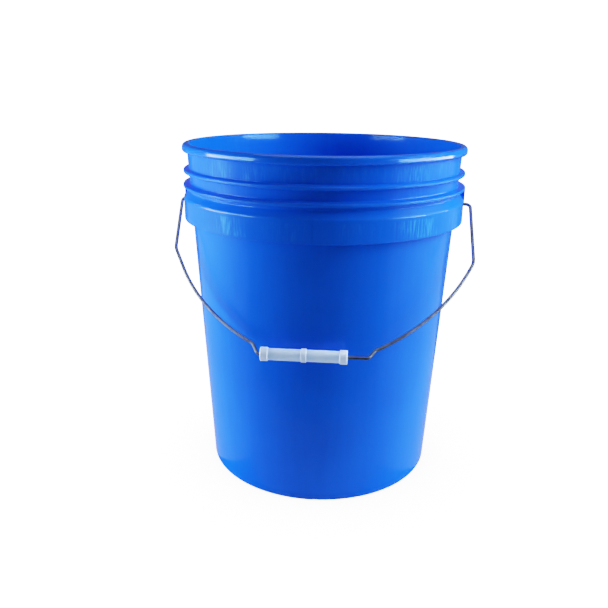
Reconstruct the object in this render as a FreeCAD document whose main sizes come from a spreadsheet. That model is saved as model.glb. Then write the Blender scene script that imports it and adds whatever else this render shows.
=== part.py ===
import FreeCAD, Part
import math
import os
import Sketcher

# Open-head pail for brewing and winemaking, with a wire bail and a plastic grip.
#
# Frame: +Z up, origin on the pail's own axis at the level of its foot. The two ears lie on
# the X axis, and the bail hangs towards -Y, resting against the front wall.
# Millimetres throughout.

SIZES = {
    # the pail's wall: a cone whose outer radius grows steadily from the foot to the rim
    "wall_foot_radius": 128.7,
    "wall_lean": 0.05455,
    "wall_thickness": 2.3,
    # foot ring and the floor raised inside it
    "foot_round": 2.5,
    "foot_inner_radius": 123.3,
    "foot_inner_round": 0.8,
    "floor_underside": 8.0,
    "floor_top": 10.5,
    "floor_corner_round": 4.0,
    "gate_radius": 6.0,
    "gate_depth": 0.9,
    # rim bead
    "rim_height": 368.3,
    "rim_radius": 153.6,
    "rim_underside": 359.8,
    "rim_lower_round": 2.2,
    "rim_upper_round": 4.0,
    "rim_lip_round": 1.4,
    # the two fins round the neck
    "fin_upper_height": 339.8,
    "fin_upper_radius": 152.9,
    "fin_lower_height": 324.4,
    "fin_lower_radius": 153.6,
    "fin_half_edge": 1.7,
    "fin_half_root": 2.6,
    "fin_tip_round": 1.3,
    "fin_root_round": 0.8,
    # the skirt band below the fins, hollow and open underneath
    "band_radius": 153.45,
    "band_skin": 2.2,
    "band_bottom": 288.4,
    "band_shoulder": 312.0,
    "band_shoulder_round": 4.0,
    "band_edge_round": 0.8,
    "band_ceiling_drop": 1.0,
    "band_ceiling_height": 319.4,
    "notch_radius": 148.6,
    "notch_height": 318.8,
    "notch_round": 1.0,
    # gussets between the wall and the band's skin
    "gusset_thickness": 1.8,
    "gusset_setback": 1.0,
    "gusset_sink": 0.6,
    # ears: solid blocks inside the band that carry the bail
    "ear_face_radius": 154.2,
    "ear_block_radius": 152.6,
    "ear_ramp_bottom": 300.0,
    "ear_ramp_top": 309.0,
    "ear_angle": 11.0,
    "ear_pocket_angle": 8.0,
    "ear_plate_inner": 149.6,
    "ear_pocket_top": 312.0,
    "ear_wall_sink": 0.8,
    "ear_wall_cover": 0.7,
    "pivot_height": 304.0,
    "pivot_hole_radius": 1.75,
    # bail wire, drawn flat: across = along the pivot line, drop = away from it
    "wire_radius": 1.7,
    "wire_start": 147.7,
    "wire_head_inner": 146.9,
    "wire_head_outer": 148.7,
    "wire_head_radius": 3.2,
    "wire_head_round": 0.6,
    "hook_round": 5.0,
    "right_leg_across": 162.5,
    "right_shoulder_across": 162.3,
    "right_shoulder_drop": 78.5,
    "right_sweep_across": 124.2,
    "right_sweep_drop": 151.1,
    "right_sweep_round": 225.0,
    "right_step_across": 62.3,
    "right_step_drop": 185.6,
    "right_hold_across": 55.8,
    "left_leg_across": 160.5,
    "left_shoulder_across": 156.3,
    "left_shoulder_drop": 70.5,
    "left_sweep_across": 116.0,
    "left_sweep_drop": 150.5,
    "left_sweep_round": 205.0,
    "left_step_across": 58.9,
    "left_step_drop": 183.0,
    "left_hold_across": 53.0,
    "shoulder_round": 22.0,
    "step_round": 4.0,
    "hold_drop": 194.1,
    "bail_rest_angle": 48.8,
    # grip
    "grip_centre_across": -7.2,
    "grip_half_length": 42.7,
    "grip_bore_radius": 1.78,
    "grip_waist_radius": 6.0,
    "grip_collar_radius": 7.0,
    "grip_collar_length": 6.9,
    "grip_collar_slope": 1.2,
    "grip_ring_radius": 6.8,
    "grip_ring_half": 2.4,
    "grip_ring_slope": 0.5,
    "grip_edge_round": 0.9,
    "grip_mouth_radius": 3.4,
    "grip_mouth_depth": 1.6,
}

GUSSET_STEP = 30.0
GUSSETS_PER_SIDE = 5


def make_sheet(doc):
    """Write the driving sizes into a spreadsheet, one named cell each."""
    sheet = doc.addObject("Spreadsheet::Sheet", "Sizes")
    for row, (name, value) in enumerate(SIZES.items(), start=1):
        sheet.set("A%d" % row, name)
        sheet.set("B%d" % row, str(value))
        sheet.setAlias("B%d" % row, name)
    doc.recompute()
    return sheet


def wall_at(height):
    """Outer wall radius at a height, as an expression on the sheet."""
    return "(Sizes.wall_foot_radius + Sizes.wall_lean * (%s))" % height


def number(sheet, expression):
    """The value that an expression on the sheet has now."""
    return float(sheet.evalExpression(expression))


def origin_feature(body, role):
    """One of the body's own origin planes or axes."""
    return next(item for item in body.Origin.OriginFeatures if item.Role == role)


def new_sketch(body, name, plane, offset=None):
    """A sketch lying on one of the body's origin planes."""
    sketch = body.newObject("Sketcher::SketchObject", name)
    sketch.AttachmentSupport = (origin_feature(body, plane), [""])
    sketch.MapMode = "FlatFace"
    if offset is not None:
        sketch.AttachmentOffset = offset
    return sketch


def bind(sketch, constraint, expression):
    """Add a dimension to a sketch and tie it to the sheet."""
    index = sketch.addConstraint(constraint)
    sketch.setExpression("Constraints[%d]" % index, expression)


def trim_length(before, corner, after, radius):
    """Distance from a corner to where its rounding starts."""
    run_in = (corner - before).normalize()
    run_out = (after - corner).normalize()
    turn = math.acos(max(-1.0, min(1.0, run_in.dot(run_out))))
    return radius * math.tan(turn / 2)


def round_corner(sketch, before, corner, after, radius):
    """Add the tangent arc at a corner. Returns its index, ends and the order of its ends."""
    run_in = (corner - before).normalize()
    run_out = (after - corner).normalize()
    trim = trim_length(before, corner, after, radius)
    start = corner - run_in * trim
    end = corner + run_out * trim
    left_turn = run_in.cross(run_out).z > 0
    to_centre = FreeCAD.Vector(-run_in.y, run_in.x, 0) * (radius if left_turn else -radius)
    centre = start + to_centre
    first, last = (start, end) if left_turn else (end, start)
    circle = Part.Circle(centre, FreeCAD.Vector(0, 0, 1), radius)
    arc = Part.ArcOfCircle(circle, circle.parameter(first), circle.parameter(last))
    index = sketch.addGeometry(arc, False)
    return index, start, end, (1, 2) if left_turn else (2, 1)


def draw_outline(sheet, sketch, corners, closed=True):
    """Straight runs through the corners; a corner given a third expression is rounded."""
    points = [FreeCAD.Vector(number(sheet, across), number(sheet, up), 0)
              for across, up, *rest in corners]
    count = len(corners)
    starts = list(points)
    ends = list(points)
    arcs = {}
    for i, corner in enumerate(corners):
        if len(corner) < 3:
            continue
        before = points[i - 1]
        after = points[(i + 1) % count]
        radius = number(sheet, corner[2])
        index, start, end, order = round_corner(sketch, before, points[i], after, radius)
        ends[i] = start
        starts[i] = end
        arcs[i] = (index, order)

    lines = {}
    for i in range(count if closed else count - 1):
        segment = Part.LineSegment(starts[i], ends[(i + 1) % count])
        lines[i] = sketch.addGeometry(segment, False)

    for i, corner in enumerate(corners):
        line_in = lines.get((i - 1) % count)
        line_out = lines.get(i)
        if i in arcs:
            arc, (arc_start, arc_end) = arcs[i]
            sketch.addConstraint(Sketcher.Constraint("Tangent", line_in, 2, arc, arc_start))
            sketch.addConstraint(Sketcher.Constraint("Tangent", arc, arc_end, line_out, 1))
            bind(sketch, Sketcher.Constraint("Radius", arc, number(sheet, corner[2])), corner[2])
            mark = sketch.addGeometry(Part.Point(points[i]), True)
            sketch.addConstraint(Sketcher.Constraint("PointOnObject", mark, 1, line_in))
            sketch.addConstraint(Sketcher.Constraint("PointOnObject", mark, 1, line_out))
            fixed = (mark, 1)
        elif line_in is not None and line_out is not None:
            sketch.addConstraint(Sketcher.Constraint("Coincident", line_in, 2, line_out, 1))
            fixed = (line_out, 1)
        elif line_out is not None:
            fixed = (line_out, 1)
        else:
            fixed = (line_in, 2)
        bind(sketch, Sketcher.Constraint("DistanceX", *fixed, points[i].x), corner[0])
        bind(sketch, Sketcher.Constraint("DistanceY", *fixed, points[i].y), corner[1])


def fin_corners(height, radius):
    """A rounded fin standing out of the neck wall, from below upwards."""
    low_root = "%s - Sizes.fin_half_root" % height
    low_edge = "%s - Sizes.fin_half_edge" % height
    high_edge = "%s + Sizes.fin_half_edge" % height
    high_root = "%s + Sizes.fin_half_root" % height
    return [
        (wall_at(low_root), low_root, "Sizes.fin_root_round"),
        (radius, low_edge, "Sizes.fin_tip_round"),
        (radius, high_edge, "Sizes.fin_tip_round"),
        (wall_at(high_root), high_root, "Sizes.fin_root_round"),
    ]


def pail_profile():
    """Half section of the pail: up the outside, over the rim, down the inside."""
    skin_inner = "Sizes.band_radius - Sizes.band_skin"
    ceiling_edge = "Sizes.band_shoulder - Sizes.band_ceiling_drop"
    outside_foot = [(wall_at("0"), "0", "Sizes.foot_round")]
    band = [
        (wall_at("Sizes.band_ceiling_height"), "Sizes.band_ceiling_height"),
        (skin_inner, ceiling_edge),
        (skin_inner, "Sizes.band_bottom", "Sizes.band_edge_round"),
        ("Sizes.band_radius", "Sizes.band_bottom", "Sizes.band_edge_round"),
        ("Sizes.band_radius", "Sizes.band_shoulder", "Sizes.band_shoulder_round"),
        ("Sizes.notch_radius", "Sizes.notch_height", "Sizes.notch_round"),
    ]
    lower_fin = fin_corners("Sizes.fin_lower_height", "Sizes.fin_lower_radius")
    lower_fin[0] = ("Sizes.notch_radius", "Sizes.fin_lower_height - Sizes.fin_half_root")
    upper_fin = fin_corners("Sizes.fin_upper_height", "Sizes.fin_upper_radius")
    rim = [
        (wall_at("Sizes.rim_underside"), "Sizes.rim_underside", "Sizes.fin_root_round"),
        ("Sizes.rim_radius", "Sizes.rim_underside", "Sizes.rim_lower_round"),
        ("Sizes.rim_radius", "Sizes.rim_height", "Sizes.rim_upper_round"),
        (wall_at("Sizes.rim_height") + " - Sizes.wall_thickness", "Sizes.rim_height",
         "Sizes.rim_lip_round"),
    ]
    inside = [
        (wall_at("Sizes.floor_top") + " - Sizes.wall_thickness", "Sizes.floor_top",
         "Sizes.floor_corner_round"),
        ("0", "Sizes.floor_top"),
        ("0", "Sizes.floor_underside - Sizes.gate_depth"),
        ("Sizes.gate_radius", "Sizes.floor_underside - Sizes.gate_depth"),
        ("Sizes.gate_radius", "Sizes.floor_underside"),
        ("Sizes.foot_inner_radius", "Sizes.floor_underside", "Sizes.foot_inner_round"),
        ("Sizes.foot_inner_radius", "0", "Sizes.foot_inner_round"),
    ]
    return outside_foot + band + lower_fin + upper_fin + rim + inside


def revolve(body, name, sketch, axis_name, angle=360.0, kind="Revolution"):
    """Turn a sketch about one of its own axes, evenly to both sides when not all round."""
    feature = body.newObject("PartDesign::" + kind, name)
    feature.Profile = sketch
    feature.ReferenceAxis = (sketch, [axis_name])
    feature.Angle = angle
    if angle < 360.0:
        feature.Midplane = True
    return feature


def polar_pattern(body, name, originals, angle, occurrences):
    """Repeat features about the pail's own axis."""
    pattern = body.newObject("PartDesign::PolarPattern", name)
    pattern.Originals = originals
    pattern.Axis = (origin_feature(body, "Z_Axis"), [""])
    pattern.Angle = angle
    pattern.Occurrences = occurrences
    body.Tip = pattern
    return pattern


def add_gussets(sheet, body):
    """Thin radial webs behind the band, on every step of the circle except at the ears."""
    low = "Sizes.band_bottom + Sizes.gusset_setback"
    high = "Sizes.band_ceiling_height"
    outer = "Sizes.band_radius - Sizes.band_skin + Sizes.gusset_sink"
    corners = [
        (wall_at(low) + " - Sizes.gusset_sink", low),
        (outer, low),
        (outer, "Sizes.band_shoulder - Sizes.band_ceiling_drop"),
        (wall_at(high), high + " + Sizes.gusset_sink"),
        (wall_at(high) + " - Sizes.gusset_sink", high),
    ]
    for side, first_angle in (("back", GUSSET_STEP), ("front", 180.0 + GUSSET_STEP)):
        turn = FreeCAD.Rotation(FreeCAD.Vector(0, 1, 0), first_angle)
        offset = FreeCAD.Placement(FreeCAD.Vector(0, 0, 0), turn)
        sketch = new_sketch(body, "gusset_outline_" + side, "XZ_Plane", offset)
        draw_outline(sheet, sketch, corners)
        web = body.newObject("PartDesign::Pad", "gusset_" + side)
        web.Profile = sketch
        web.Midplane = True
        web.setExpression("Length", "Sizes.gusset_thickness")
        span = GUSSET_STEP * (GUSSETS_PER_SIDE - 1)
        polar_pattern(body, "gussets_" + side, [web], span, GUSSETS_PER_SIDE)


def add_ears(doc, sheet, body):
    """Two blocks inside the band, each hollowed from below and bored for the bail."""
    top = "Sizes.fin_lower_height + Sizes.fin_half_edge"
    block_sketch = new_sketch(body, "ear_block_outline", "XZ_Plane")
    draw_outline(sheet, block_sketch, [
        (wall_at("Sizes.band_bottom") + " - Sizes.ear_wall_sink", "Sizes.band_bottom"),
        ("Sizes.ear_block_radius", "Sizes.band_bottom"),
        ("Sizes.ear_block_radius", "Sizes.ear_ramp_bottom"),
        ("Sizes.ear_face_radius", "Sizes.ear_ramp_top"),
        ("Sizes.ear_face_radius", top, "Sizes.fin_tip_round"),
        (wall_at(top) + " - Sizes.ear_wall_sink", top),
    ])
    block = revolve(body, "ear_block", block_sketch, "V_Axis", SIZES["ear_angle"])
    block.setExpression("Angle", "Sizes.ear_angle")

    pocket_low = "Sizes.band_bottom - Sizes.gusset_setback"
    pocket_sketch = new_sketch(body, "ear_pocket_outline", "XZ_Plane")
    draw_outline(sheet, pocket_sketch, [
        (wall_at(pocket_low) + " + Sizes.ear_wall_cover", pocket_low),
        ("Sizes.ear_plate_inner", pocket_low),
        ("Sizes.ear_plate_inner", "Sizes.ear_pocket_top"),
        (wall_at("Sizes.ear_pocket_top") + " + Sizes.ear_wall_cover", "Sizes.ear_pocket_top"),
    ])
    angle = SIZES["ear_pocket_angle"]
    pocket = revolve(body, "ear_pocket", pocket_sketch, "V_Axis", angle, "Groove")
    pocket.setExpression("Angle", "Sizes.ear_pocket_angle")

    start = FreeCAD.Placement(FreeCAD.Vector(0, 0, SIZES["wire_start"]), FreeCAD.Rotation())
    hole_sketch = new_sketch(body, "pivot_hole_outline", "YZ_Plane", start)
    hole_sketch.setExpression("AttachmentOffset.Base.z", "Sizes.wire_start")
    draw_circle(sheet, hole_sketch, "Sizes.pivot_height", "Sizes.pivot_hole_radius")
    hole = body.newObject("PartDesign::Pocket", "pivot_hole")
    hole.Profile = hole_sketch
    hole.Reversed = True
    hole.setExpression("Length", "Sizes.ear_face_radius - Sizes.wire_start + 2 * Sizes.wire_radius")

    doc.recompute()
    if not hole.Shape.Volume < pocket.Shape.Volume < block.Shape.Volume:
        raise RuntimeError("an ear's pocket or pivot hole cuts nothing")
    polar_pattern(body, "ears", [block, pocket, hole], 360.0, 2)


def draw_circle(sheet, sketch, up, radius):
    """A circle on the sketch's vertical axis."""
    centre = FreeCAD.Vector(0, number(sheet, up), 0)
    circle = Part.Circle(centre, FreeCAD.Vector(0, 0, 1), number(sheet, radius))
    index = sketch.addGeometry(circle, False)
    bind(sketch, Sketcher.Constraint("Radius", index, number(sheet, radius)), radius)
    bind(sketch, Sketcher.Constraint("DistanceX", index, 3, 0.0), "0")
    bind(sketch, Sketcher.Constraint("DistanceY", index, 3, centre.y), up)


def make_bucket(doc, sheet):
    """The moulded pail."""
    body = doc.addObject("PartDesign::Body", "bucket_body")
    body.Label = "bucket_body"
    profile = new_sketch(body, "pail_profile", "XZ_Plane")
    draw_outline(sheet, profile, pail_profile())
    revolve(body, "pail", profile, "V_Axis")
    doc.recompute()
    add_gussets(sheet, body)
    add_ears(doc, sheet, body)
    return body


def bail_route():
    """Corners of the wire's centre line, from the right pivot end to the left one."""
    def corner(across, drop, rounding, side=1):
        sign = "" if side > 0 else "-"
        return (sign + "Sizes." + across, "-Sizes." + drop, "Sizes." + rounding)

    return [
        ("Sizes.wire_start", "0"),
        ("Sizes.right_leg_across", "0", "Sizes.hook_round"),
        corner("right_shoulder_across", "right_shoulder_drop", "shoulder_round"),
        corner("right_sweep_across", "right_sweep_drop", "right_sweep_round"),
        corner("right_step_across", "right_step_drop", "step_round"),
        corner("right_hold_across", "hold_drop", "step_round"),
        corner("left_hold_across", "hold_drop", "step_round", -1),
        corner("left_step_across", "left_step_drop", "step_round", -1),
        corner("left_sweep_across", "left_sweep_drop", "left_sweep_round", -1),
        corner("left_shoulder_across", "left_shoulder_drop", "shoulder_round", -1),
        ("-Sizes.left_leg_across", "0", "Sizes.hook_round"),
        ("-Sizes.wire_start", "0"),
    ]


def place_on_bail(sheet, body, across, drop):
    """Stand a piece drawn in the bail's own plane where the bail hangs at rest."""
    tilt = number(sheet, "Sizes.bail_rest_angle")
    turn = FreeCAD.Rotation(FreeCAD.Vector(1, 0, 0), 90.0 - tilt)
    pivot = FreeCAD.Vector(0, 0, number(sheet, "Sizes.pivot_height"))
    body.Placement = FreeCAD.Placement(pivot + turn.multVec(FreeCAD.Vector(across, -drop, 0)), turn)


def make_bail(doc, sheet):
    """The bent wire, with an upset head at each end inside the ears."""
    body = doc.addObject("PartDesign::Body", "bail_wire")
    body.Label = "bail_wire"
    route = new_sketch(body, "bail_route", "XY_Plane")
    draw_outline(sheet, route, bail_route(), closed=False)

    start = FreeCAD.Placement(FreeCAD.Vector(0, 0, SIZES["wire_start"]), FreeCAD.Rotation())
    section = new_sketch(body, "wire_section", "YZ_Plane", start)
    section.setExpression("AttachmentOffset.Base.z", "Sizes.wire_start")
    draw_circle(sheet, section, "0", "Sizes.wire_radius")
    doc.recompute()
    wire = body.newObject("PartDesign::AdditivePipe", "wire")
    wire.Profile = section
    wire.Spine = route

    for side, sign in (("right", ""), ("left", "-")):
        head_sketch = new_sketch(body, "head_outline_" + side, "XY_Plane")
        draw_outline(sheet, head_sketch, [
            (sign + "Sizes.wire_head_inner", "0"),
            (sign + "Sizes.wire_head_outer", "0"),
            (sign + "Sizes.wire_head_outer", "Sizes.wire_head_radius", "Sizes.wire_head_round"),
            (sign + "Sizes.wire_head_inner", "Sizes.wire_head_radius", "Sizes.wire_head_round"),
        ])
        revolve(body, "head_" + side, head_sketch, "H_Axis")
    doc.recompute()
    place_on_bail(sheet, body, 0, 0)
    return body


def grip_profile():
    """Half section of the grip along its bore, from the left mouth to the right one."""
    def half(sign):
        end = sign + "Sizes.grip_half_length"
        collar = sign + "(Sizes.grip_half_length - Sizes.grip_collar_length)"
        slope = sign + "(Sizes.grip_half_length - Sizes.grip_collar_length - Sizes.grip_collar_slope)"
        return [
            (sign + "(Sizes.grip_half_length - Sizes.grip_mouth_depth)", "Sizes.grip_bore_radius"),
            (end, "Sizes.grip_mouth_radius"),
            (end, "Sizes.grip_collar_radius", "Sizes.grip_edge_round"),
            (collar, "Sizes.grip_collar_radius"),
            (slope, "Sizes.grip_waist_radius"),
            (sign + "(Sizes.grip_ring_half + Sizes.grip_ring_slope)", "Sizes.grip_waist_radius"),
            (sign + "Sizes.grip_ring_half", "Sizes.grip_ring_radius"),
        ]

    return half("-") + list(reversed(half("")))


def make_grip(doc, sheet):
    """The moulded tube that the hand holds, free to slide along the wire's straight."""
    body = doc.addObject("PartDesign::Body", "bail_grip")
    body.Label = "bail_grip"
    profile = new_sketch(body, "grip_profile", "XY_Plane")
    draw_outline(sheet, profile, grip_profile())
    revolve(body, "tube", profile, "H_Axis")
    doc.recompute()
    across = number(sheet, "Sizes.grip_centre_across")
    place_on_bail(sheet, body, across, number(sheet, "Sizes.hold_drop"))
    return body


def check(doc, bodies):
    """Stop if any feature failed or a piece is not a sound solid."""
    for item in doc.Objects:
        if "Invalid" in item.State or "Error" in item.State:
            raise RuntimeError("%s failed: %s" % (item.Name, item.State))
    for body in bodies:
        shape = body.Shape
        if shape.isNull() or not shape.isValid() or len(shape.Solids) != 1:
            raise RuntimeError("%s is not one valid solid" % body.Label)


def main():
    doc = FreeCAD.newDocument("pail")
    sheet = make_sheet(doc)
    bodies = [make_bucket(doc, sheet), make_bail(doc, sheet), make_grip(doc, sheet)]
    doc.recompute()
    check(doc, bodies)
    os.makedirs("parts", exist_ok=True)
    for body in bodies:
        body.Shape.exportStep("parts/%s.step" % body.Label)
        box = body.Shape.BoundBox
        print("%-12s volume %9.1f mm3  faces %3d  x %.1f..%.1f  y %.1f..%.1f  z %.1f..%.1f" % (
            body.Label, body.Shape.Volume, len(body.Shape.Faces),
            box.XMin, box.XMax, box.YMin, box.YMax, box.ZMin, box.ZMax))


main()
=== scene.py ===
import math

import bpy
from mathutils import Matrix, Vector

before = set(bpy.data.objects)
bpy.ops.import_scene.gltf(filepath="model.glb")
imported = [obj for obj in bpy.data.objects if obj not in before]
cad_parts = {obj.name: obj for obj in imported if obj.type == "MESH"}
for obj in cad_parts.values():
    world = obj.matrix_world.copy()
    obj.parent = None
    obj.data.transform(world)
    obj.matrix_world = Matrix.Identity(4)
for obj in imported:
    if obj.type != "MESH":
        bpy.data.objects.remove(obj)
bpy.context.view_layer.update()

# The plastic fermenting bucket, dressed for its photograph. Metres, the CAD's own frame:
# +Z up the pail's axis, the ears on X, the bail hanging towards -Y.

# the sizes that the materials follow
WALL_FOOT = 0.1287           # the wall's outer radius at the floor
WALL_LEAN = 0.05455          # and how fast it grows with height
BAND_BOTTOM = 0.2884
BAND_SHOULDER = 0.3120
BAND_RADIUS = 0.15345
RIM_TOP = 0.3683
RIM_UNDERSIDE = 0.3598
FIN_UPPER = 0.3398
FIN_LOWER = 0.3244
GUSSETS_ROUND = 12           # one every 30 degrees behind the band
GRIP_AXIS = (-0.14604, 0.17615)   # the grip's own axis: y and z
GRIP_TUBE, GRIP_COLLAR = 0.0061, 0.0067     # its plain radius, and where the rings start

# edges of the pail that take the knocks: radius, height and how far the wear reaches
EDGES = (
    (0.1534, RIM_TOP - 0.0010, 0.0030),
    (0.1536, RIM_UNDERSIDE + 0.0010, 0.0022),
    (0.1468, RIM_TOP, 0.0020),
    (0.1529, FIN_UPPER, 0.0022),
    (0.1536, FIN_LOWER, 0.0022),
    (0.1526, BAND_SHOULDER - 0.0008, 0.0030),
    (BAND_RADIUS, BAND_BOTTOM, 0.0018),
    (0.1281, 0.0008, 0.0030),
)

# where the pail was rubbed most, and where the side lights' painted highlight falls: angles about
# its axis, from +X towards +Y, and their soft ends
RUBS_AND_SHEEN_LEFT = (-2.32, -1.98)
RUBS_AND_SHEEN_RIGHT = (-1.00, -0.64)
RUBS_AND_SHEEN_SOFT = 0.12

# colours, linear
BLUE_DEEP, BLUE_PLAIN = (0.0024, 0.078, 0.680, 1), (0.0030, 0.090, 0.760, 1)
# the rubbed blue is partly real rubs and partly a painted highlight, paler where the side lights'
# sheen falls
BLUE_RUBBED_AND_SHEEN, BLUE_WORN = (0.035, 0.270, 1.0, 1), (0.006, 0.120, 0.86, 1)
BLUE_SUNK = (0.0020, 0.050, 0.50, 1)
BLUE_MIRRORED = (0.35, 0.76, 1.0, 1)
ZINC_DARK, ZINC_PALE = (0.105, 0.135, 0.185, 1), (0.170, 0.210, 0.265, 1)
ZINC_TARNISHED = (0.085, 0.088, 0.094, 1)
GRIP_DARK, GRIP_PALE = (0.46, 0.66, 0.98, 1), (0.52, 0.72, 1.0, 1)
GRIP_RAISED, GRIP_SOILED = (0.66, 0.80, 0.99, 1), (0.38, 0.49, 0.66, 1)
# the grip's painted glow, an emission in place of the pail's blue light through it
GRIP_PAINTED_GLOW = (0.10, 0.30, 1.0, 1)
BLACK, PLAIN_WHITE = (0, 0, 0, 1), (1, 1, 1, 1)

# the studio
FLOOR_HALF = 4.0
CARD_TOP_HALF, CARD_TOP_HEIGHT = 0.7, 1.7
CARD_LIFT = 0.0008           # the flat cards lie this far above the floor
CARD_AWAY, CARD_PANELS = 1.0, 8     # the bent cards: distance from the axis, and flat parts
WHITE = 3.0                  # the light that shows as pure white
PAST_WHITE = WHITE + 0.1
# the camera's soft shoulder: light against the level that it shows as
SHOULDER = ((0.127, 0.127), (0.45, 0.455), (1.08, 0.735), (1.58, 0.850), (2.20, 0.935))
ONLY_IN_GLOSS = {"visible_camera": False, "visible_diffuse": False, "visible_shadow": False,
                 "visible_transmission": False}


# ---------------------------------------------------------------- node building

class Nodes:
    """A node tree, wired by small calls that each take sockets or plain numbers."""

    def __init__(self, tree):
        self.tree = tree
        tree.nodes.clear()

    def add(self, kind, inputs=None, **settings):
        node = self.tree.nodes.new(kind)
        for key, value in settings.items():
            setattr(node, key, value)
        for key, value in (inputs or {}).items():
            self.feed(node.inputs[key], value)
        return node

    def feed(self, socket, value):
        if isinstance(value, bpy.types.NodeSocket):
            self.tree.links.new(value, socket)
        else:
            socket.default_value = value

    def math(self, operation, *values):
        node = self.add("ShaderNodeMath", operation=operation)
        for socket, value in zip(node.inputs, values):
            self.feed(socket, value)
        return node.outputs[0]

    def step(self, value, low, high, start=0.0, end=1.0):
        """A smooth step from start to end as the value goes from low to high."""
        node = self.add("ShaderNodeMapRange", {"Value": value, "From Min": low, "From Max": high,
                                               "To Min": start, "To Max": end},
                        interpolation_type="SMOOTHSTEP")
        return node.outputs["Result"]

    def between(self, value, low, high, soft):
        """1 inside low..high, 0 outside, with soft edges."""
        return self.math("MULTIPLY", self.step(value, low - soft, low + soft),
                         self.step(value, high - soft, high + soft, 1.0, 0.0))

    def times(self, *values):
        result = values[0]
        for value in values[1:]:
            result = self.math("MULTIPLY", result, value)
        return result

    def total(self, *values):
        result = values[0]
        for value in values[1:]:
            result = self.math("ADD", result, value)
        return result

    def length(self, first, second):
        """The length of the flat vector with these two parts."""
        squares = [self.math("MULTIPLY", part, part) for part in (first, second)]
        return self.math("SQRT", self.math("ADD", *squares))

    def stretch(self, vector, factors):
        """The vector with each of its axes scaled."""
        node = self.add("ShaderNodeVectorMath", operation="MULTIPLY")
        self.feed(node.inputs[0], vector)
        self.feed(node.inputs[1], factors)
        return node.outputs[0]

    def noise(self, vector, scale, detail=2.0, roughness=0.5):
        node = self.add("ShaderNodeTexNoise", {"Vector": vector, "Scale": scale,
                                               "Detail": detail, "Roughness": roughness})
        return node.outputs["Fac"]

    def mix(self, factor, first, second):
        node = self.add("ShaderNodeMix", {"Factor": factor}, data_type="RGBA")
        self.feed(node.inputs[6], first)
        self.feed(node.inputs[7], second)
        return node.outputs[2]

    def bump(self, height, distance, normal=None):
        node = self.add("ShaderNodeBump", {"Height": height, "Distance": distance,
                                           "Strength": 1.0})
        if normal is not None:
            self.feed(node.inputs["Normal"], normal)
        return node.outputs["Normal"]


def new_material(name):
    material = bpy.data.materials.new(name)
    material.use_nodes = True
    return material, Nodes(material.node_tree)


def finish_material(nodes, shader):
    nodes.add("ShaderNodeOutputMaterial", {"Surface": shader.outputs[0]})


def wear(node_name, material):
    """Give a carried-over CAD node its finished material."""
    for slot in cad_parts[node_name].material_slots:
        slot.material = material


# ---------------------------------------------------------------- blue plastic

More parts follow.
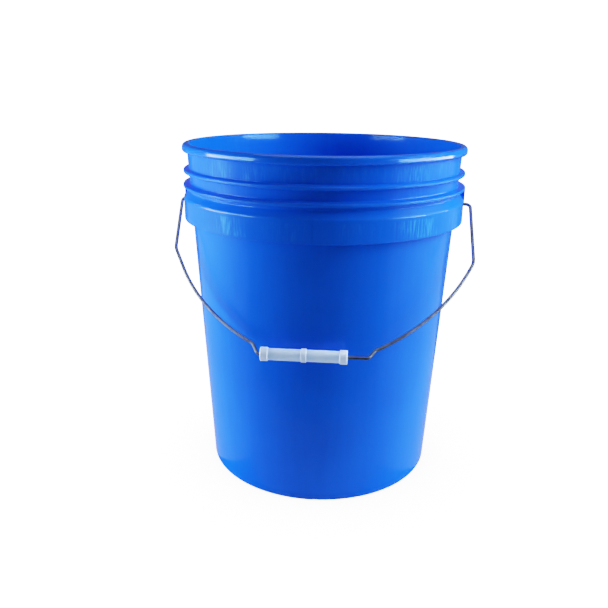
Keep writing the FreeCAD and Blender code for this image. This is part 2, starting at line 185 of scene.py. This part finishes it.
def blue_plastic():
    material, n = new_material("blue_hdpe")
    place = n.add("ShaderNodeTexCoord").outputs["Object"]
    axes = n.add("ShaderNodeSeparateXYZ", {"Vector": place})
    x, y, z = axes.outputs
    radius = n.length(x, y)
    angle = n.math("ARCTAN2", y, x)
    wall = n.math("MULTIPLY_ADD", z, WALL_LEAN, WALL_FOOT)
    proud = n.math("SUBTRACT", radius, wall)
    outside = n.step(proud, -0.0010, -0.0004)

    # the colour drifts a little with the moulding
    clouds = n.noise(place, 7.0, 3.0, 0.55)
    flow = n.noise(n.stretch(place, (1.0, 1.0, 0.05)), 150.0, 3.0, 0.6)
    drift = n.math("ADD", n.math("MULTIPLY", clouds, 0.75), n.math("MULTIPLY", flow, 0.25))
    body = n.mix(n.step(drift, 0.35, 0.65), BLUE_DEEP, BLUE_PLAIN)

    # fine vertical rubs, where pails are pulled out of one another; in two zones at the front
    # sides their paler blue is also a painted highlight of the side lights
    hair = n.noise(n.stretch(place, (1.0, 1.0, 0.12)), 430.0, 4.0, 0.66)
    patch = n.noise(n.stretch(place, (1.0, 1.0, 0.6)), 24.0, 3.0, 0.6)
    high_up = n.step(z, 0.26, 0.30, 0.08, 1.0)
    rubs_and_sheen_zone = n.math("MAXIMUM", n.between(angle, *RUBS_AND_SHEEN_LEFT, RUBS_AND_SHEEN_SOFT),
                   n.between(angle, *RUBS_AND_SHEEN_RIGHT, RUBS_AND_SHEEN_SOFT))
    on_band = n.times(n.between(z, BAND_BOTTOM + 0.002, BAND_SHOULDER - 0.004, 0.0015),
                      n.step(radius, BAND_RADIUS - 0.0012, BAND_RADIUS - 0.0006))
    neck = n.between(z, FIN_UPPER + 0.0035, RIM_UNDERSIDE - 0.0025, 0.0015)
    on_wall = n.times(outside, n.step(proud, 0.0006, 0.0012, 1.0, 0.0),
                      n.math("MULTIPLY_ADD", neck, 0.6, 0.15))
    rubs_and_sheen = n.times(n.step(hair, 0.42, 0.72), n.step(patch, 0.36, 0.62), high_up,
                   n.math("MULTIPLY_ADD", rubs_and_sheen_zone, 0.72, 0.28),
                   n.math("MAXIMUM", on_band, on_wall))

    # edges that take the knocks
    edges = 0.0
    for edge_r, edge_z, reach in EDGES:
        far = n.length(n.math("SUBTRACT", radius, edge_r), n.math("SUBTRACT", z, edge_z))
        edges = n.math("MAXIMUM", edges, n.step(far, reach * 0.25, reach, 1.0, 0.0))
    nicks = n.noise(n.stretch(place, (1.0, 1.0, 1.6)), 130.0, 4.0, 0.65)
    worn = n.times(edges, n.step(nicks, 0.38, 0.70, 0.25, 1.0))

    # the gussets show faintly through the band as sink marks
    spoke = n.step(n.math("COSINE", n.math("MULTIPLY", angle, float(GUSSETS_ROUND))), 0.9937, 1.0)
    away = n.step(n.math("ABSOLUTE", n.math("SINE", angle)), 0.12, 0.14)
    sink = n.times(spoke, away, on_band)

    # real rubs and a painted highlight together: the rubbed zones turn a paler blue
    pale = n.mix(n.math("MULTIPLY", rubs_and_sheen, 0.60), body, BLUE_RUBBED_AND_SHEEN)
    edged = n.mix(n.math("MULTIPLY", worn, 0.30), pale, BLUE_WORN)
    colour = n.mix(n.math("MULTIPLY", sink, 0.20), edged, BLUE_SUNK)

    grain = n.noise(place, 2300.0, 2.0, 0.5)
    peel = n.noise(place, 260.0, 2.0, 0.5)
    gloss = n.total(0.075, n.math("MULTIPLY", clouds, 0.04), n.math("MULTIPLY", grain, 0.03),
                    n.math("MULTIPLY", outside, 0.030),
                    n.math("MULTIPLY", rubs_and_sheen, 0.07), n.math("MULTIPLY", worn, 0.06))
    wavy = n.bump(peel, 0.000012)
    sunk = n.bump(n.math("MULTIPLY", sink, -1.0), 0.00004, normal=wavy)
    hairs = n.bump(n.math("MULTIPLY", hair, n.math("ADD", n.math("MULTIPLY", high_up, 0.4), rubs_and_sheen)),
                   0.000022, normal=sunk)
    grained = n.bump(grain, 0.0000022, normal=hairs)
    shader = n.add("ShaderNodeBsdfPrincipled", {"Base Color": colour, "Roughness": gloss,
                                                "IOR": 1.51, "Specular IOR Level": 0.32,
                                                "Specular Tint": BLUE_MIRRORED,
                                                "Normal": grained})
    finish_material(n, shader)
    return material


# ---------------------------------------------------------------- bail wire

def bail_steel():
    material, n = new_material("galvanised_wire")
    place = n.add("ShaderNodeTexCoord").outputs["Object"]
    spangle = n.noise(place, 170.0, 3.0, 0.6)
    tarnish = n.noise(place, 34.0, 4.0, 0.6)
    dust = n.noise(place, 1900.0, 2.0, 0.5)
    zinc = n.mix(n.step(spangle, 0.35, 0.65), ZINC_DARK, ZINC_PALE)
    colour = n.mix(n.step(tarnish, 0.52, 0.74, 0.0, 0.55), zinc, ZINC_TARNISHED)
    gloss = n.total(0.32, n.math("MULTIPLY", spangle, 0.10), n.math("MULTIPLY", tarnish, 0.14))
    drawn = n.bump(n.noise(n.stretch(place, (0.35, 1.0, 1.0)), 1300.0, 2.0), 0.00002)
    pitted = n.bump(dust, 0.000012, normal=drawn)
    shader = n.add("ShaderNodeBsdfPrincipled", {"Base Color": colour, "Metallic": 1.0,
                                                "Roughness": gloss, "Normal": pitted})
    finish_material(n, shader)
    return material


# ---------------------------------------------------------------- white grip

def white_plastic():
    material, n = new_material("white_moulded")
    place = n.add("ShaderNodeTexCoord").outputs["Object"]
    axes = n.add("ShaderNodeSeparateXYZ", {"Vector": place})
    _, y, z = axes.outputs
    clouds = n.noise(place, 55.0, 3.0, 0.6)
    handled = n.noise(n.stretch(place, (0.5, 1.0, 1.0)), 160.0, 4.0, 0.65)
    out = n.length(n.math("SUBTRACT", y, GRIP_AXIS[0]), n.math("SUBTRACT", z, GRIP_AXIS[1]))
    raised = n.step(out, GRIP_TUBE, GRIP_COLLAR)
    base = n.mix(n.step(clouds, 0.35, 0.65), GRIP_DARK, GRIP_PALE)
    soiled = n.mix(n.times(n.step(handled, 0.52, 0.78), n.math("SUBTRACT", 1.0, raised), 0.30),
                   base, GRIP_SOILED)
    colour = n.mix(n.math("MULTIPLY", raised, 0.5), soiled, GRIP_RAISED)
    grain = n.noise(place, 1500.0, 2.0, 0.5)
    scratch = n.noise(n.stretch(place, (0.12, 1.0, 1.0)), 800.0, 3.0, 0.6)
    gloss = n.total(0.36, n.math("MULTIPLY", handled, 0.12), n.math("MULTIPLY", grain, 0.05))
    scratched = n.bump(scratch, 0.00004)
    grained = n.bump(grain, 0.000015, normal=scratched)
    shader = n.add("ShaderNodeBsdfPrincipled", {
        "Base Color": colour, "Roughness": gloss, "Normal": grained,
        "Subsurface Weight": 0.15, "Subsurface Radius": (0.004, 0.004, 0.004),
        "Subsurface Scale": 0.5, "IOR": 1.50,
        # a painted glow: emission standing in for the pail's blue light coming through the thin
        # tube
        "Emission Color": GRIP_PAINTED_GLOW, "Emission Strength": 0.14})
    finish_material(n, shader)
    return material


wear("bucket_body", blue_plastic())
wear("bail_wire", bail_steel())
wear("bail_grip", white_plastic())


# ---------------------------------------------------------------- camera

PHOTO_SIDE = 608.0
FOCAL_PIXELS = 667.8834
CAMERA_BACK = 0.74927
CAMERA_HEIGHT = 0.42782
CAMERA_ROUND = math.radians(3.5)     # the camera stands this far round from the pail's front
PITCH, YAW, ROLL = 0.3176, -0.0270, 0.0103


def make_camera():
    ahead = Vector((math.sin(YAW) * math.cos(PITCH), math.cos(YAW) * math.cos(PITCH),
                    -math.sin(PITCH)))
    level = Vector((math.cos(YAW), -math.sin(YAW), 0.0))
    upward = level.cross(ahead)
    right = math.cos(ROLL) * level + math.sin(ROLL) * upward
    up = -math.sin(ROLL) * level + math.cos(ROLL) * upward
    turn = Matrix.Rotation(CAMERA_ROUND, 3, "Z")
    facing = Matrix((turn @ right, turn @ up, turn @ -ahead)).transposed()
    data = bpy.data.cameras.new("camera")
    data.sensor_width = 36.0
    data.lens = FOCAL_PIXELS / PHOTO_SIDE * data.sensor_width
    data.clip_start = 0.01
    data.clip_end = 50.0
    camera = bpy.data.objects.new("camera", data)
    camera.matrix_world = (Matrix.Translation(turn @ Vector((0.0, -CAMERA_BACK, CAMERA_HEIGHT)))
                           @ facing.to_4x4())
    bpy.context.scene.collection.objects.link(camera)
    bpy.context.scene.camera = camera


make_camera()


# ---------------------------------------------------------------- floor and light

def add_stage(name, points, faces, material, **flags):
    """A sheet of the studio, such as the floor or a card, which isn't part of the pail."""
    mesh = bpy.data.meshes.new(name)
    mesh.from_pydata(points, [], faces)
    mesh.materials.append(material)
    sheet = bpy.data.objects.new(name, mesh)
    for key, value in flags.items():
        setattr(sheet, key, value)
    bpy.context.scene.collection.objects.link(sheet)


def square(half, z):
    return [(-half, -half, z), (half, -half, z), (half, half, z), (-half, half, z)]


def floor_material():
    """White paper: seen as plain white with a painted shade at the foot; as a light, paper painted
    darker in front of the pail.
    """
    material, n = new_material("floor_paper")
    # painted shade near the foot: ambient occlusion dims the white that the camera sees
    shade = n.add("ShaderNodeAmbientOcclusion", {"Distance": 0.16}, samples=8)
    tone = n.step(shade.outputs["AO"], 0.05, 0.95, 1.9, PAST_WHITE)
    seen = n.add("ShaderNodeEmission", {"Color": PLAIN_WHITE, "Strength": tone})
    place = n.add("ShaderNodeTexCoord").outputs["Object"]
    axes = n.add("ShaderNodeSeparateXYZ", {"Vector": place})
    # painted shade: the paper is darker in front of the pail, so less light bounces back onto its
    # front
    pale = n.step(axes.outputs["Y"], -0.40, 0.0, 0.30, 0.85)
    paper = n.add("ShaderNodeBsdfDiffuse", {"Color": n.mix(pale, BLACK, PLAIN_WHITE)})
    eye = n.add("ShaderNodeLightPath").outputs["Is Camera Ray"]
    both = n.add("ShaderNodeMixShader", {0: eye, 1: paper.outputs[0], 2: seen.outputs[0]})
    finish_material(n, both)
    return material


def card_material(name, glow):
    material, n = new_material(name)
    shader = n.add("ShaderNodeEmission", {"Color": PLAIN_WHITE, "Strength": glow})
    finish_material(n, shader)
    return material


def area_light(name, place, aim, width, height, radiance):
    """A soft box that lights the pail and doesn't show in its gloss; the cards do that."""
    data = bpy.data.lights.new(name, "AREA")
    data.shape = "RECTANGLE"
    data.size, data.size_y = width, height
    data.energy = radiance * math.pi * width * height
    light = bpy.data.objects.new(name, data)
    light.location = place
    light.rotation_mode = "QUATERNION"
    light.rotation_quaternion = (Vector(aim) - Vector(place)).to_track_quat("-Z", "Y")
    light.visible_camera = False
    light.visible_glossy = False
    bpy.context.scene.collection.objects.link(light)


def make_world():
    """White to the eye; as a light, bright behind the pail and dark on the camera's side."""
    world = bpy.data.worlds.new("studio")
    world.use_nodes = True
    bpy.context.scene.world = world
    n = Nodes(world.node_tree)
    way = n.add("ShaderNodeSeparateXYZ",
                {"Vector": n.add("ShaderNodeTexCoord").outputs["Generated"]})
    behind = n.step(way.outputs["Y"], 0.45, 0.95, 0.02, 0.12)
    seen = n.add("ShaderNodeLightPath").outputs["Is Camera Ray"]
    light = n.add("ShaderNodeBackground", {"Color": PLAIN_WHITE, "Strength": behind})
    plain = n.add("ShaderNodeBackground", {"Color": PLAIN_WHITE, "Strength": PAST_WHITE})
    both = n.add("ShaderNodeMixShader", {0: seen, 1: light.outputs[0], 2: plain.outputs[0]})
    n.add("ShaderNodeOutputWorld", {"Surface": both.outputs[0]})


def floor_card(name, glow, corners):
    """A flat card just above the floor, which the lower wall mirrors."""
    add_stage(name, [(x, y, CARD_LIFT) for x, y in corners], [tuple(range(len(corners)))],
              card_material(name, glow), **ONLY_IN_GLOSS)


def ring_card(name, glow, start, end, low, high):
    """A card bent round the pail, from one bearing to another: degrees from -Y towards +X."""
    points = []
    for k in range(CARD_PANELS + 1):
        turn = math.radians(start + (end - start) * k / CARD_PANELS)
        points += [(CARD_AWAY * math.sin(turn), -CARD_AWAY * math.cos(turn), z)
                   for z in (low, high)]
    faces = [(2 * k, 2 * k + 2, 2 * k + 3, 2 * k + 1) for k in range(CARD_PANELS)]
    add_stage(name, points, faces, card_material(name, glow), **ONLY_IN_GLOSS)


# what lights the pail
add_stage("floor", square(FLOOR_HALF, 0.0), [(0, 1, 2, 3)], floor_material(),
          visible_glossy=False)
area_light("softbox_left", (-1.18, 0.08, 0.30), (0.0, 0.0, 0.22), 1.0, 0.8, 27.0)
area_light("softbox_right", (1.16, 0.10, 0.74), (0.0, 0.0, 0.22), 1.1, 1.0, 19.5)
area_light("fill_front", (0.3, -2.2, 1.3), (0.0, 0.0, 0.2), 2.0, 1.5, 0.16)
# what its gloss mirrors: pale paper at the sides, the dark room in front, cards and strips
floor_card("paper_left", 0.50, [(-3.0, -2.0), (-0.45, -0.265), (-0.12, -0.125), (-0.12, 0.13),
                                (-3.0, 3.0)])
floor_card("paper_right", 0.50, [(3.0, -2.0), (3.0, 3.0), (0.12, 0.13), (0.12, -0.125),
                                 (0.45, -0.285)])
floor_card("paper_near", 0.30, [(-0.45, -0.265), (0.45, -0.285), (0.12, -0.125),
                                (-0.12, -0.125)])
ring_card("card_left", 30.0, -91.5, -46.5, 0.262, 0.365)
ring_card("card_left_low", 0.4, -80.0, -46.5, 0.14, 0.262)
ring_card("card_right", 27.0, 58.5, 114.0, 0.258, 0.365)
ring_card("strip_left", 22.0, -80.0, -45.0, 0.380, 0.398)
ring_card("strip_right", 46.0, 50.0, 88.0, 0.380, 0.398)
add_stage("card_top", square(CARD_TOP_HALF, CARD_TOP_HEIGHT), [(0, 3, 2, 1)],
          card_material("card_top", 3.0), **ONLY_IN_GLOSS)
make_world()

view = bpy.context.scene.view_settings
view.view_transform = "Standard"
view.look = "None"
view.exposure = 0.0
view.gamma = 1.0
# straight in the shadows, easing towards white
view.use_curve_mapping = True
tone = view.curve_mapping
tone.white_level = (WHITE, WHITE, WHITE)
curve = tone.curves[3]
for level, shown in SHOULDER:
    curve.points.new(level / WHITE, shown)
tone.update()
